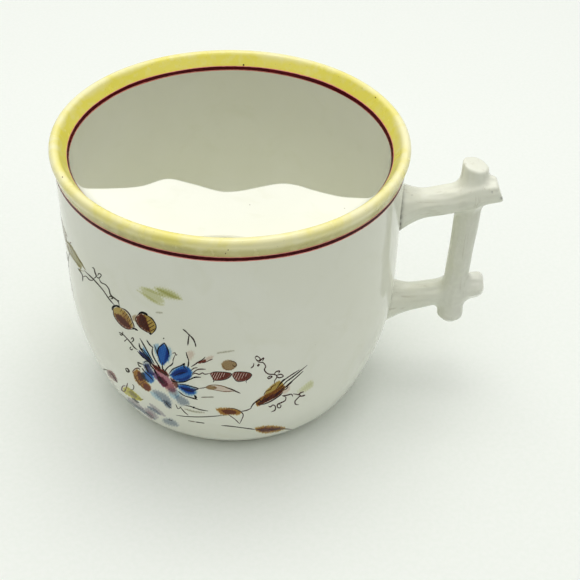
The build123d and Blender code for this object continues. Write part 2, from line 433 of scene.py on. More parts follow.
def turned(section, columns):
    """A section's points turned round the axis, with the wall's unevenness: rows by columns by 3."""
    theta = np.linspace(0, 2 * math.pi, columns, endpoint=False)[None, :]
    r, z = section[..., 0], section[..., 1]
    if section.ndim == 2:
        r, z = r[:, None], z[:, None]
    radius = r + unround(theta, z) * np.clip(r / full_at, 0, 1)
    return np.stack([radius * np.cos(theta), radius * np.sin(theta), z + 0 * theta], -1)


bare_margin = 0.6  # the wiped foot ring: how far past the ring, up to what height, and over what fade
bare_height = 0.75
bare_fade = 0.4


def build_body():
    """The cup itself: a turned shell with a bare wiped foot ring."""
    section = cup_section()
    rings = turned(section[1:], body_columns)
    points = np.vstack([rings.reshape(-1, 3), [[0, 0, section[0][1]], [0, 0, floor_height - skin]]])
    faces = ring_faces(len(rings), body_columns, False).tolist()
    under, over = len(points) - 2, len(points) - 1
    last = under - body_columns
    for i in range(body_columns):
        after = (i + 1) % body_columns
        faces += [[under, after, i], [over, last + i, last + after]]
    piece = make_mesh("cup_glaze", points, faces)
    reach = np.hypot(points[:, 0], points[:, 1])
    on_ring = (reach > foot_inner_radius - bare_margin) & (reach < foot_radius + bare_margin)
    mark(piece, "bare", on_ring * np.clip((bare_height - points[:, 2]) / bare_fade, 0, 1))
    return place(piece, "porcelain", "cup_body")


# ---------------------------------------------------------------- enamel round the lip


enamel_columns = 720
band_rows, line_rows = 26, 8
band_rise, line_rise = 0.045, 0.06
enamel_depth = 0.12
line_bleed = 0.22  # a thin pink edge runs past each maroon line

# how each edge wanders: its size, and waves round the rim
outer_edge_wander = 0.10, (3, 7, 16)
inner_edge_wander = 0.08, (4, 9, 14)
outer_line_wander = 0.10, (2, 5, 11)
inner_line_wander = 0.10, (2, 6, 13)
swell_size, swell_middle, swell_turn = 0.16, 0.3, 0.9  # the inner line is wider on one side


class Lip:
    """The lip's section by length along it, so that brushed enamel can wander up and down on it."""

    def __init__(self, inset):
        self.section = lip_section(inset)
        steps = np.linalg.norm(np.diff(self.section, axis=0), axis=1)
        self.length = np.insert(np.cumsum(steps), 0, 0)
        self.crest = int(np.argmax(self.section[:, 1]))

    def at(self, length):
        """The section's point at a length along it."""
        return np.stack([np.interp(length, self.length, values) for values in self.section.T], -1)

    def outside(self, height):
        """Length along the section where the outside of the lip has a height."""
        return float(np.interp(height, self.section[:self.crest, 1], self.length[:self.crest]))

    def inside(self, height):
        """Length along the section where the inside of the lip has a height."""
        heights = self.section[self.crest:, 1][::-1]
        return float(np.interp(height, heights, self.length[self.crest:][::-1]))


def wander(theta, size, turns):
    """A brush's unsteady hand: a small, smooth, closed wave round the rim."""
    total = 0 * theta
    for i, count in enumerate(turns):
        total = total + np.sin(count * theta + 1.7 * i + 0.9) / (1 + 0.4 * i)
    return size * total / 2


def enamel_ring(name, start, end, rows, lift):
    """A closed skin of enamel between two lengths along the lip, each an array round the rim."""
    columns = len(start)
    share = np.linspace(0, 1, rows)[:, None]
    length = start * (1 - share) + end * share
    rise = lift * np.sqrt(np.clip(1 - (2 * share - 1) ** 4, 0, 1))
    top = lip_top.at(length)
    away = top - lip_under.at(length)
    away /= np.maximum(np.linalg.norm(away, axis=-1)[..., None], tiny)
    front = top - away * (skin - rise)[..., None]
    back = (top - away * (skin + enamel_depth))[::-1]
    section = np.concatenate([front, back])
    piece = make_mesh(name, turned(section, columns).reshape(-1, 3), ring_faces(len(section), columns, True))
    mark(piece, "across", np.repeat(np.concatenate([share, share[::-1]]), columns))
    return piece


def build_enamel():
    """The yellow band over the lip and the maroon line on each side of it."""
    theta = np.linspace(0, 2 * math.pi, enamel_columns, endpoint=False)
    outer_edge = lip_top.outside(outer_line_high) + wander(theta, *outer_edge_wander)
    inner_edge = lip_top.inside(inner_line_high) + wander(theta, *inner_edge_wander)
    band = enamel_ring("yellow_band", outer_edge, inner_edge, band_rows, band_rise)
    place(band, "yellow_enamel", "rim_band")
    low_edge = lip_top.outside(outer_line_low) - line_bleed + wander(theta, *outer_line_wander)
    outer = enamel_ring("maroon_line_outside", low_edge, outer_edge + line_bleed, line_rows, line_rise)
    place(outer, "maroon_enamel", "outer_rim_line")
    swell = swell_size * (swell_middle + np.cos(theta - swell_turn))
    far_edge = lip_top.inside(inner_line_low) + line_bleed + swell + wander(theta, *inner_line_wander)
    inner = enamel_ring("maroon_line_inside", inner_edge - line_bleed, far_edge, line_rows, line_rise)
    place(inner, "maroon_enamel", "inner_rim_line")
    return band, outer, inner


# ---------------------------------------------------------------- the moustache shelf

edge_table = np.linspace(-guard_edge_reach, guard_edge_reach, 881)
edge_smoothing = 10  # places of the table on each side


def smooth_curve(knots, count):
    """Points of a smooth curve through knots, evenly spread between them."""
    knots = np.asarray(knots, float)
    padded = np.vstack([2 * knots[0] - knots[1], knots, 2 * knots[-1] - knots[-2]])
    runs = []
    for i in range(len(knots) - 1):
        a, b, c, d = padded[i:i + 4]
        t = np.linspace(0, 1, count, endpoint=False)[:, None]
        bend, twist = 2 * a - 5 * b + 4 * c - d, 3 * b - a - 3 * c + d
        runs.append(0.5 * (2 * b + (c - a) * t + bend * t**2 + twist * t**3))
    return np.vstack(runs + [knots[-1:]])


guard_curve = smooth_curve(guard_edge, 24)
edge_y = np.interp(edge_table, guard_curve[:, 0], guard_curve[:, 1]) + guard_edge_shift
edge_window = 2 * edge_smoothing + 1
edge_y = np.convolve(np.pad(edge_y, edge_smoothing, "edge"), np.ones(edge_window) / edge_window, "valid")
edge_slope = np.gradient(edge_y, edge_table)


def guard_field(points):
    """The shelf with soft edges, flowing into the wall."""
    x, y, z = points.T
    slope = np.interp(x, edge_table, edge_slope)
    free = (y - np.interp(x, edge_table, edge_y)) / np.sqrt(1 + slope**2)
    middle = (guard_low + guard_high) / 2 - guard_drop
    slab = np.abs(z - middle) - (guard_high - guard_low) / 2 + guard_skin
    qx, qy = x / slot_half_width, (y + inner_radius) / slot_depth
    spread = np.hypot(qx, qy)
    slot = spread * (spread - 1) / np.maximum(np.hypot(qx / slot_half_width, qy / slot_depth), tiny)
    shelf = smooth_max(smooth_max(free, -slot, slot_round), slab, guard_round)
    rounded = smooth_max(shelf, np.hypot(x, y) - inner_radius - guard_bury, bury_round)
    return smooth_min(rounded, inner_wall(points) + guard_skin, guard_fillet)


def build_guard():
    """The moustache shelf, its edges softened by the glaze and its seam filled."""
    reach = inner_radius + guard_box_margin
    low = -reach, -reach, guard_low - guard_box_below
    high = reach, guard_box_front, guard_high + guard_box_above
    points, faces, normals = skin_of(guard_field, low, high, guard_step)
    outside_wall = inner_wall(points) > -0.01
    used, faces = in_use(faces[outside_wall[faces].any(1)])
    piece = make_mesh("shelf_glaze", points[used], faces, normals[used])
    return place(piece, "porcelain", "moustache_guard")


# ---------------------------------------------------------------- the twig handle

upper_slope = math.tan(math.radians(upper_tilt))
lower_slope = math.tan(math.radians(lower_tilt))
lean_slope = math.tan(math.radians(upright_lean))
upper_cross = upper_root + (upright_reach - wall_radius) * upper_slope
lower_cross = lower_root + (upright_reach - wall_radius) * lower_slope
cross_middle = (upper_cross + lower_cross) / 2
cross_span = upper_cross - lower_cross


def branch_point(root, slope, side, distance):
    """A point on a branch's axis, at a distance outside the wall."""
    return np.array([wall_radius + distance, side * twig_weave, root + distance * slope])


def upright_point(height):
    """A point on the upright twig's axis, at a height above the middle between the crossings."""
    weave = 2 * twig_weave / cross_span
    return np.array([upright_reach + height * lean_slope, height * weave, cross_middle + height])


def twig_field(
    points, start, end, radii, seed, flare_size, low_cuts, high_cuts, sag=0.0, bark_size=1.0, soft_cut=0.9
):
    """A tapering twig with bark streaks and a flare at the wall, cut off at both ends."""
    axis = end - start
    length = np.linalg.norm(axis)
    axis = axis / length
    share = np.clip((points - start) @ axis / length, 0, 1)
    points = points + np.outer(sag * np.sin(share * math.pi) ** 2, [0, 0, 1])
    sideways = np.cross(axis, [0, 1, 0])
    sideways /= np.linalg.norm(sideways)
    offset = points - start
    along = offset @ axis
    radial = offset - along[:, None] * axis
    angle = np.arctan2(radial[:, 1], radial @ sideways)
    bark = knot_size * np.sin(along / knot_length + 2 * seed + np.sin(2 * angle))
    for size, ridges, turn_by, weave, run, drift in bark_ridges:
        bark += size * np.sin(ridges * angle + turn_by * seed + weave * np.sin(along / run + drift * seed))
    gap = np.clip(1 - outer_wall(points) / flare_reach, 0, flare_limit)
    radius = np.interp(along, [0, length], radii) + bark_size * bark + flare_size * gap**2
    body = np.linalg.norm(radial, axis=1) - radius
    for origin, cuts in ((start, low_cuts), (end, high_cuts)):
        for normal, distance in cuts:
            normal = np.array(normal) / np.linalg.norm(normal)
            body = smooth_max(body, (points - origin) @ normal - distance, soft_cut)
    return body


upper_ends = [branch_point(upper_root, upper_slope, -1, distance) for distance in (axis_start, upper_length)]
lower_ends = [branch_point(lower_root, lower_slope, 1, distance) for distance in (axis_start, lower_length)]
upright_ends = upright_point(-cross_span / 2 - bottom_stub), upright_point(cross_span / 2 + top_stub)


def handle_field(points):
    """The three twigs with soft fillets where they cross, ending just inside the wall."""
    upper = twig_field(
        points, *upper_ends, upper_radii, upper_seed, root_flare, [], upper_cuts, sag=upper_sag
    )
    lower = twig_field(
        points, *lower_ends, lower_radii, lower_seed, root_flare, [], lower_cuts, soft_cut=lower_soft_cut
    )
    upright = twig_field(
        points, *upright_ends, upright_radii, upright_seed, 0, bottom_cuts, top_cuts, bark_size=upright_bark
    )
    foot = np.linalg.norm(points - upright_ends[0] - foot_ball_middle, axis=1) - foot_ball_radius
    stub = smooth_max(upright, upright_ends[0][2] + foot_ball_cut - points[:, 2], stub_round)
    upright = smooth_min(stub, foot, foot_ball_fillet)
    twigs = smooth_min(smooth_min(upper, upright, crossing_fillet), lower, crossing_fillet)
    return smooth_max(twigs, -outer_wall(points) - twig_bury, twig_bury_round)


# marks on the upper twig: pixel of the picture, spread in pixels, strength
chips = [((501.6, 198.2), 1.3, 1.0), ((492.0, 192.0), 0.8, 0.7), ((412.0, 195.0), 0.6, 0.5)]
least_facing = -0.1  # chips go only on skin that faces the camera

# darkening in the seams at the roots: the distance of its fade, its strength, and how it thins on one side
upper_seam_fade, lower_seam_fade = 0.34, 0.3
lower_seam_strength = 0.6
upper_seam_middle, upper_seam_swing, upper_seam_turn = 0.85, 0.45, 1.9
seam_width = 0.02
halfway_up = 45

# the upright twig's half width, the fade past it, and how much painted shade darkens the twigs, and the
# upright one more
upright_half, upright_fade = 3.0, 1.5
painted_shade_overall, painted_shade_upright = 0.03, 0.07


def pixels_of(points):
    """Where points are seen in the picture, in pixels."""
    offset = points * MM - np.array(camera_location)
    across, up, depth = (offset @ np.array(axis) for axis in (camera_right, camera_up, camera_forward))
    return picture_middle + focal_pixels * np.column_stack([across, -up]) / depth[:, None]


def build_handle():
    """The handle as one glazed casting, in place of the three crossed branches."""
    low = np.array(handle_low) + [wall_radius, 0, 0]
    points, faces, normals = skin_of(handle_field, low, handle_high, twig_step)
    piece = make_mesh("twig_handle", points, faces, normals)
    x, y, z = points.T
    gap = outer_wall(points)
    around = np.arctan2(z - upper_root, y)
    upper_seam = np.exp(-np.clip(gap - seam_width, 0, None) / upper_seam_fade) * (z > halfway_up)
    upper_seam *= upper_seam_middle + upper_seam_swing * np.cos(around + upper_seam_turn)
    lower_seam = lower_seam_strength * np.exp(-np.clip(gap, 0, None) / lower_seam_fade) * (z < halfway_up)
    off_upright = np.abs(x - upright_reach - (z - cross_middle) * lean_slope) - upright_half
    on_upright = np.clip(1 - off_upright / upright_fade, 0, 1)
    # painted shade: the whole handle, and more its upright twig below the upper crossing, is darkened for the
    # dimmer light on them
    handle_painted_shade = painted_shade_overall + painted_shade_upright * on_upright * (z < upper_cross)
    # the darkening of the seams and the painted shade together; the chips are added below
    darkening_and_painted_shade = upper_seam + lower_seam + handle_painted_shade
    facing = normals @ np.array(camera_forward) < least_facing
    for place_seen, spread, strength in chips:
        near = np.linalg.norm(pixels_of(points) - place_seen, axis=1)
        darkening_and_painted_shade += strength * np.exp(-((near / spread) ** 2)) * facing
    mark(piece, "darkening_and_painted_shade", np.clip(darkening_and_painted_shade, 0, 1))
    mark(piece, "streaked_along_x", np.clip(off_upright / upright_fade, 0, 1))
    mark(piece, "streaked_along_z", on_upright)
    return place(piece, "porcelain", "handle_upper_branch", "handle_lower_branch", "handle_upright_branch")


# ---------------------------------------------------------------- painted decoration

# The spray is drawn as outlines and lines in a small set of pigments. A row names its pigment, then come its
# numbers, and then the x,y knots of a smooth path on the camera's picture plane. A slash starts another path
# of the same kind. Each knot lands on the cup where the camera's ray meets it, so the spray curves with the
# wall.
# Widths and softness are on the picture plane too.

pigments = {
    "black": (4, 0, 2), "maroon": (36, 2, 8), "brown": (58, 20, 8), "grey": (60, 54, 40),
    "faint": (132, 126, 104), "navy": (0, 2, 14), "blue": (26, 84, 186), "deep_blue": (0, 20, 66),
    "sky": (96, 150, 212), "slate": (88, 102, 128), "lavender": (134, 126, 144), "pink": (180, 112, 134),
    "plum": (84, 16, 48), "violet": (84, 50, 100), "blush": (206, 172, 160), "rust": (92, 22, 12),
    "ochre": (150, 92, 24), "umber": (76, 24, 0), "gold": (172, 136, 56), "olive": (124, 114, 40),
    "moss": (132, 124, 6), "lemon": (186, 172, 24), "sage": (176, 177, 108), "tan": (132, 100, 64),
    "red_brown": (90, 34, 28),
}


def rows_of(table):
    """The rows of a written table: a pigment, its numbers, and a path as x, y, x, y and so on."""
    rows = []
    for written in table.splitlines():
        for word in written.split("#")[0].split():
            if word in pigments:
                kind, path = [word], None
            elif word == "/":
                path = None
            elif "," not in word:
                kind.append(float(word))
            else:
                if path is None:
                    path = []
                    rows.append((*kind, path))
                path += map(float, word.split(","))
    return rows


# soft shapes: pigment, strength, softness, and a closed outline
wash_shapes = rows_of("""
# ears at the upper left and on the right
olive 0.8 1 66,241 71,245 77,255 82,266 79,267 73,258 68,249
gold 0.85 1.6 266,391 272,385 279,381 283,384 279,390 271,395 264,398
ochre 0.9 1.5 255,402 263,396 273,391 282,385 285,388 279,395 268,401 258,406
umber 0.55 1.3 257,403 266,398 276,393 283,388 281,394 271,400 260,405
ochre 0.8 2.2 255,428 265,426 276,426 285,428 277,431.5 265,433 257,431
umber 0.4 1.1 257,429 267,427.6 280,428 272,431 262,431.6
# acorns
gold 0.75 0.9 113,309 117,307 122,309 127,313 131,320 133,327 127,327 119,321 114,315
umber 0.75 2.8 115,314 120,315 126,320 131,327 128,328.5 121,324 117,319
blush 0.6 1 122,311 127,314 130,319 131,323 126,320 122,315
gold 0.85 0.9 140,314 147,315 152,319 155.5,325 155,330 151,333 144,329 139,324
umber 0.85 2.6 136.5,317 141,314 145,317 147,322 150,330 147,331 141,327 137,322
tan 0.4 1.6 132,316 136,315 136,321 133,320
ochre 0.85 1.8 133,372 137,369.5 142,374 146,381 151,387 149,391 143,388 136,381
umber 0.6 1.6 138,371 142,374 144,379 141,381 138,377
rust 0.35 1.4 143,383 147,384 151,388 148,391 144,388
lemon 0.85 1.6 123,388 127,387 132,390 139,396 142,400 137,400 129,396 124,392
moss 0.6 2 128,391 132,391 137,396 135,398 131,395
# the large flower: upper petals
deep_blue 0.85 0.9 139,350 143,353 148,357 154,365 150,362 145,359 140,354
blue 0.5 2.4 143,347 147,352 152,361 148,360 144,354
sky 0.5 2.6 154,345 158,344 160,350 158,356 155,352
blue 0.95 2.4 158,351 159.5,347 163,343.6 166,346.5 168.5,351 169,356 167,361 163,365 159,361
sky 0.5 3.4 167,346 171,350 171,356 168,362 166,356
deep_blue 0.25 2 166,345 168.5,351 169,357 166,362 163.5,365 165,358 166.5,351
# right petals
blue 0.95 2.4 170,375 173,371 178,367.5 184,366 190,369 192,374 189,379 182,381.5 175,380
deep_blue 0.35 2 170,375 176,371 183,369 188,371 183,374 176,375.5
deep_blue 0.25 1.2 176,379 183,378 190,375 189,379 182,381.5
sky 0.5 2.8 176,384 184,384 193,387 197,393 190,396 182,392
blue 0.85 2.4 177,386 184,385 191,388 195,393 189,394 182,390
deep_blue 0.45 1.8 180,387 189,388 197,389 193,392 186,391
# left petals
blue 0.8 2.4 142,374 147,371 152,374 154,380 151,383 146,380
deep_blue 0.55 2.2 144,365 148,364 151,368 154,375 150,374 146,370
black 0.4 1.4 141,372.5 144,373 146,378 149,382 146,381 142,377
slate 0.35 1.6 143,361.5 147,361 150,365 147,368 144,366
# its middle
rust 0.85 1.2 152,364 156,365.5 161,369 166,371.5 169,376 164,374 158,371 154,368
pink 0.9 2.2 154,369 159,371 164,374 169,378 173,384 176,390 172,392 165,387 158,380
violet 0.6 1.5 152,373 156,372 160,376 164,383 160,382 155,378
plum 0.7 1.5 157,377 162,377 166,381 168,385 164,387 160,383
blush 0.6 3 166,384 172,385 177,391 176,395 170,393 166,389
red_brown 0.6 1.6 171,378 175,380 178,385 177,388 173,384
# pale petals below it
slate 0.5 3.4 152,390 158,391 166,395 171,401 170,405 163,401 157,396
slate 0.8 2.4 162,400 167,401 171,405 169.5,408 165,405
slate 0.5 3.4 175,395 181,396 187,400 189,404 182,405 177,401
sky 0.35 3.6 168,388 176,389 180,394 176,399 170,395
# buds, an oval seed, hatched seeds, a leaf
red_brown 0.75 1 107,370 110,370.5 114,373.5 117.5,382 112,378.5 108,374.5
blush 0.5 1.6 103,374 108,376 114,383 110,382 105,378
red_brown 0.8 1 196,363 200,361 205,359.5 206,361.5 201,363.2
blush 0.5 2.6 203,360 208,357 213,356 211,360 206,361
blush 0.45 3.4 187,352 192,351 194,354 192,358 189,359.5
tan 0.7 1.6 221.5,364 224,361 230,360.2 236,363 236,366.5 232,369.5 226,370 222.5,367.5
red_brown 0.85 0.9 209.5,373.5 215,372 225,372.3 231,373.8 228.5,377.5 222,379.8 214,380.3 212,376.5
red_brown 0.8 0.9 232,374.5 235,372.4 241,371.9 248.5,372.8 251.3,375 249,378.4 245,380.6 238,381 234,377.5
tan 0.75 1 205.5,387.5 209,385.8 214,386 217,388 213,389.5 208,389
blush 0.5 1 213,386 220,386 228,389 233,391 225,391.2 216,390
ochre 0.85 2.2 216,409 222,408 232,408.5 240,411 239,414.5 231,414.5 222,414.5
umber 0.45 1.6 221,410 229,409.6 236,411.5 234,414 226,413.8
blush 0.4 2 281,389 288,384 290,389 284,394
sage 0.65 5 155,288 163,288.5 173,292 180,298 171,298 161,295
sage 0.4 4 140,288 150,289 158,294 164,302 154,302 145,296 / 298,392 303,387 311,381 313,385 305,391
slate 0.5 3.2 163,419 170,418.6 176,422 178,426 170,425 164,422
lavender 0.6 3.4 143,409 149,408 155,413 158,418 151,418 145,413
pink 0.45 3 146,412 150,412 154,417 151,418.5
""")

# soft strokes: pigment, strength, width, and a path
wash_strokes = rows_of("""
sage 0.4 3 157,288.5 166,293 174,297 182,299.5
sage 0.3 3 142,287 153,291.5 164,296.5
sage 0.3 2.6 137,290 148,297 158,303.5 164,305
faint 0.4 1.2 156,312.4 162.5,312.8
slate 0.85 2.4 123,397 129,401.6 137,407 146,413 155,419
lavender 0.7 4.5 128,398 134,403 143,409
lavender 0.5 4 150,404 157,410 165,416
navy 0.7 1.5 132.5,398.3 138.5,402.8
slate 0.6 3 148,406.5 154,410 160,414.5
sky 0.3 5 151,392 156,396 162,401
faint 0.55 1 217,353.2 225,352 234,350.6
faint 0.5 1.4 185,409 194,411.5 204,412.5
blush 0.5 3 152,366 160,370.5 168,376
""")

# crisp lines: pigment, width, and a path
drawn_paths = rows_of("""
# the ear and stem at the upper left
olive 1 66,240 71,246 77,256 85.6,270.2
olive 0.8 67,246 71,255 76,262 81,268 79,269.7 84,271.3
grey 0.8 77.8,268 82.2,274.7 82.8,281.3 / 82.8,277 86,276.2 89.4,279.7 92.2,280.3 93.3,279.1
grey 0.9 83.9,270.2 93.3,279.1 102.2,289.1 108.9,298.6 114.6,305.4
grey 1 92,267.2 94,268.6 95,272.4 96.2,276.3 93.4,278.8
grey 0.8 96.1,276.3 98.9,278 101.3,275.2 98.9,273.4 97.6,275.8
grey 0.9 98.9,278 101.1,282.4 105.6,284.7 108.9,289.1 110.6,294.7 115.6,299.1 118.3,301.5 119.5,307
grey 1 108.6,297.4 110.8,296.2 112.9,298.2 110.6,298.8
black 1.5 117.4,300.6 118.9,301.4
# acorns
black 1.8 112.4,310.4 113.3,307 116.7,305.9 120.2,307.6
brown 0.9 113.3,309.5 114.2,315.8 118.7,322.6 125.6,328.2 133.6,329.4
brown 1 120,307.4 125.6,310.2 129.6,314.7 131.9,320.2 133.9,325.8 133.6,329.4
black 1.2 131.5,328 134,328.4 138,330.6
brown 0.6 122.2,309.1 120,311.9 / 125,310.8 122.8,314.7 / 127.2,313.6 124.4,316.9 / 129.4,315.8 126.7,319.7
 / 131.1,319.1 128.3,322.4 / 132.4,322.4 130,325.4
black 1.9 137.8,314.6 141.7,312.6 146.1,314.2 147.4,316
black 1 147.2,315.2 152.3,319.1 155.8,324.7 155.6,329.2 151.6,334.3
brown 1 137.8,314.7 135.7,319.1 138.9,325.8 144.4,330.4 151.2,333.8
black 1.8 149.4,332.6 151.6,334.4
brown 0.8 141.1,321.3 147.8,317.4 / 142.2,324.3 151.1,319.7 / 144.4,326.9 153.3,321.9 / 147,329.5
 154.6,324.9 / 148.9,332.2 155.2,328.4
# the forked twig, the looped sprig
maroon 0.9 182.6,329 186.4,332 189.4,335.4
maroon 1.1 189.3,334 188.3,340 187.8,345.4 / 189.4,334.6 193.3,339.2 195.1,343.3 195.9,347
grey 0.9 118.8,332 122.8,334.3 126.7,338.2 131.1,343.2 134.2,347.3 137.8,350
grey 0.8 119.4,333.6 122,335.2 122.9,331.6 / 126.9,339.2 124.2,341.4
grey 0.9 131.1,342.6 133.5,340.2 132.6,337.6 130.8,339.4
grey 0.8 131.4,346.6 129.9,348.2 131.6,349.8 133.2,348.4
# the large flower's upper outlines
navy 1 139.8,338 143.3,344.2 147.5,351.7 151.7,359.2 154.4,364
navy 1.1 139,343 140,347.5 144.2,353.3 150,360 153,364.4
navy 1 137.2,350.9 142.5,356.7 148.3,361 152.4,364.6
navy 0.8 140.4,347.5 145.8,353 151.6,361
navy 1 146.6,339.8 149.6,344.5 153.3,347.7 / 152.7,346.5 152.3,353.3 155,359.8 159.2,366.4 160.6,369 /
 154.2,344.4 156.2,350 158.2,356 160.6,362
navy 1.2 158,355.8 157.8,350.8 159,347.3 163.4,343.6 164.7,343.6 166.9,347.5 168.5,351.7 169.2,356.3
navy 1 162.6,362 162.4,367 163.2,371
brown 0.7 172.2,353.4 175,352.8 175.9,355 177.4,354.5 / 175.2,354.8 173.3,359.2 173,361.7
black 1 173.3,361.6 171.7,364.6 168.3,366.9 165.8,369.8 164.2,372.6 / 151.6,364.4 156.8,367.6 162.4,372.4
 168.4,377.4
rust 0.8 157.6,365.4 160,369.4 161.6,373
black 0.9 163.4,368.8 165.6,373 168.6,376.4
grey 1 163.2,338.8 164.2,337.9
# right outlines
navy 1.2 168.6,374.4 172.4,369.6 176.8,367.2 182,365.2 184.4,363.8 184,366.8 186.8,369.6 / 170.2,378
 173.6,381.5 183.3,381.9 190,379.3 195,377.3 201,377.2
navy 0.8 173.4,376.6 179.6,373.4 186,372.4
brown 0.8 190.8,375.9 195,373.3 199.2,374.3 202.5,372.9 205,374.2 210,373.4
brown 0.9 191.7,374.2 195.8,370.6 199.2,369.2 206,369.2
brown 0.8 190.4,371.4 193.6,368.4 197.6,367.6
maroon 1.1 186,352 187.3,356.7 188.6,360.4 188.3,364.8 187.3,368.6
maroon 1 191,366.8 195,364.4 198.3,362 202.5,359.6 205.4,356.8
brown 0.8 202,363 206.7,361.7 210,360 212.8,359
navy 1 175,383.6 184,384.6 192,386.6 198.3,388.7 193,390.4 / 178,391 184,395.4 191,397.6 197.8,399.6
navy 1.8 194.4,395 196.6,398.4
navy 0.8 180.6,387 186,390 193,391.4
brown 0.6 198.3,388.4 203.3,387.9 207.5,386.9
faint 0.8 201,397.2 214,397
# left outlines
navy 1.1 143.8,363 146,361 149.4,362.3 150.8,365.6 155,370.6 157.6,375
grey 0.9 137.2,362 141.7,364 143.6,364 / 137.6,362.4 139,365.6 141.4,367
navy 1.6 144.8,364.6 146.8,369 148.4,372.6
navy 1.1 142,368 144.6,371.6 149,375.6 153.6,381
black 0.8 153.6,369.6 156.6,374.6 161,379.6
# ochre acorn and olive acorn, a loop, left bud
umber 0.9 134,373 132.9,371.4 135,369 138.4,368.2 140.2,370.2
umber 0.7 133.3,373 136,379 140,384.4 145,389 149.6,391.4 / 135.4,376.6 139.4,373.8 / 137.4,380.6
 142.2,377.4 / 140.2,384.2 145,381 / 143.6,387.6 148,384.6
umber 0.9 127.6,382.8 126.6,386.7 124.8,391.2 122,390.2 122.6,386.4 125.6,385.6
grey 0.7 132.4,384 133.9,386.7 132.9,389.6 130.6,389.4
moss 0.9 137.6,397.6 141,399.4 143.6,399.2
grey 1.1 125.4,368.4 127.6,368.6 129.2,371.6 127,371.4 125.4,368.4
grey 0.7 97.5,363.3 101.7,368.3 107.6,370.2
grey 0.6 100.8,371.7 103.3,372 102.5,369.2
maroon 0.8 109,371 113.6,376.6 117.6,382.8
faint 0.9 108.8,381.2 113.3,386.7 118.5,391
# below the flower
navy 0.9 165.6,402 168.2,405.6 171.6,408.4
grey 0.7 179.6,406.2 184.2,411.7 188.5,415.3
grey 0.8 184.4,405.4 190,406.2 193.8,407.5 200,409.6 208.3,411
black 1.4 192.8,407 194.8,407.9
grey 0.6 175.6,404 178,408.6 181.4,406.6
grey 0.7 176,415.2 186,416.4 200,416.9 212.5,416.3 227.5,415 / 195.4,421.9 204.6,423.2
faint 0.7 188,420.6 195.4,421.9
navy 0.8 168.4,419.4 172.4,420.6
# oval seed, hatched seeds, leaf
brown 0.8 229,360.4 234.8,362 236.6,365 234.4,366.4 232,364.4
tan 0.8 222,364 225,368.8 230,369.8 234.6,367.6
maroon 0.8 209.3,373.5 215,371.9 225,372.2 231.4,373.8 228.8,377.6 222.4,380 213.4,380.8 / 210.2,374
 212.2,377 214,380.4 213,382 / 231.8,374.4 235,372.2 241.3,371.8 248.8,372.7 251.6,374.8 249.6,378.1
 246.2,380.6 246.4,383 / 232,374.6 234,378 237.6,381.4 245,380.8
tan 0.8 205,387.5 210,385.3 217.5,385.2 225,386.9 233.8,390.6
brown 1.1 224,386.8 231,389.2 235.6,391.2 240.4,393.3
tan 0.7 207.5,388.2 216.3,390.2 225,391.5 234,391.2
# curling tendrils on the right
brown 0.9 250.6,368.2 253.1,366.3 253.9,363.1 / 254.9,358 256.9,356.1 260.2,358.8 258.1,361 254.9,358 /
 259.4,362 261.4,359.4 263.8,358 262.4,361.2
brown 1.6 257.4,366.2 259.4,364
brown 0.9 257.6,362 260,362.5 263.1,362.6 265.6,366.3 264.4,370 268.1,373.8 275,374.6 276.9,376.9
 274.4,381.3 275.2,385 / 267.2,377.8 270,376.1 272.2,376.7 269,378.6 267.2,377.8 / 273.6,374.4 276.4,371.6
 279.6,371 278.4,373.4 / 275.8,375.6 281,374.3 283.2,376.3 279,377.7 275.8,375.6
# the large ear
maroon 1 250.4,409 252.5,405 256.3,401.3 262,397.4 / 256,403 259,399.8 261.6,401.8 264,397.6 266.4,400.4
 270,395.4 / 257,404.6 264,404 271,401 279,396 283,392.4
umber 0.9 263,402.4 268,397.4 274,393.6 / 268,401 273,396 279,391
maroon 1 274,397.6 279,392 285,386
umber 0.8 263.6,395 266,391.4 270.4,389.4 272,386.6 276,384.6
maroon 0.9 276,389 281.4,382.6 287.5,377.5 299.4,369.8 / 280,389 286,382 292.5,377.2 307.2,365.2 / 283,389.6
 288,384.6 293.8,379.6 303.3,371
maroon 0.8 278.8,385 282,381 285.4,378.6 / 284.6,387.6 287.6,386 292.8,381 / 281.6,389.8 285.4,389.4
 288.4,386.6
# tendrils under it
brown 0.9 281.6,395.6 286,395.4 291.3,394.2 292.8,396.6 / 293.1,393.8 298.1,394.6 300.2,395.4 297.5,398.3
 295,401.3 295.6,404.2 299,404.8
brown 1.1 298.4,394.4 301,392.6 304,391.7 / 299.6,396.2 302.4,396 305.2,395
brown 0.9 282.6,396.2 285.6,396.9 285.2,400.4 281.3,402.6 277.8,404.2 277.4,407 279.8,407.8 281,405.4
 278.8,404.4 / 268.4,406 270.4,406.8 273,405 275.2,406.3 275,410 271,412
# the ochre leaf and the lower ear
brown 0.8 226,408 234,408.6 240,411.2 243.2,414.8 241.5,420 239.4,423.8
brown 0.7 239.4,423.6 234.4,418.8 228.4,414.6
brown 0.8 241,411.4 246.3,410.4 251.3,408.2
grey 0.8 221.3,425.4 231.3,426.3 245,428.1 256,429.6
brown 0.9 255,429.6 265,429.8 276,429.2 284,428.8 292,429.4
umber 0.8 261,431.8 264,428.6 266.4,426 / 268,431.6 271,428.6 273,426 / 275,431 278,428.6 281,426.6
""")

# the hatching on the two seeds: from, to, how far down it goes at its ends and in its middle
seed_hatches = [((213, 372.4), (225, 372.6), (4.2, 7.4)), ((234, 372.4), (247, 373), (3.6, 7.4))]
hatch_count = 6
hatch_slant = 0.5
light_hatch = "blush", 0.7
dark_hatch = "maroon", 0.4
dark_shift = (-0.6, 0.3)

# the net that the washes are laid on: low corner, high corner, step
front_net = (62.0, 238.0), (314.0, 436.0), 0.62

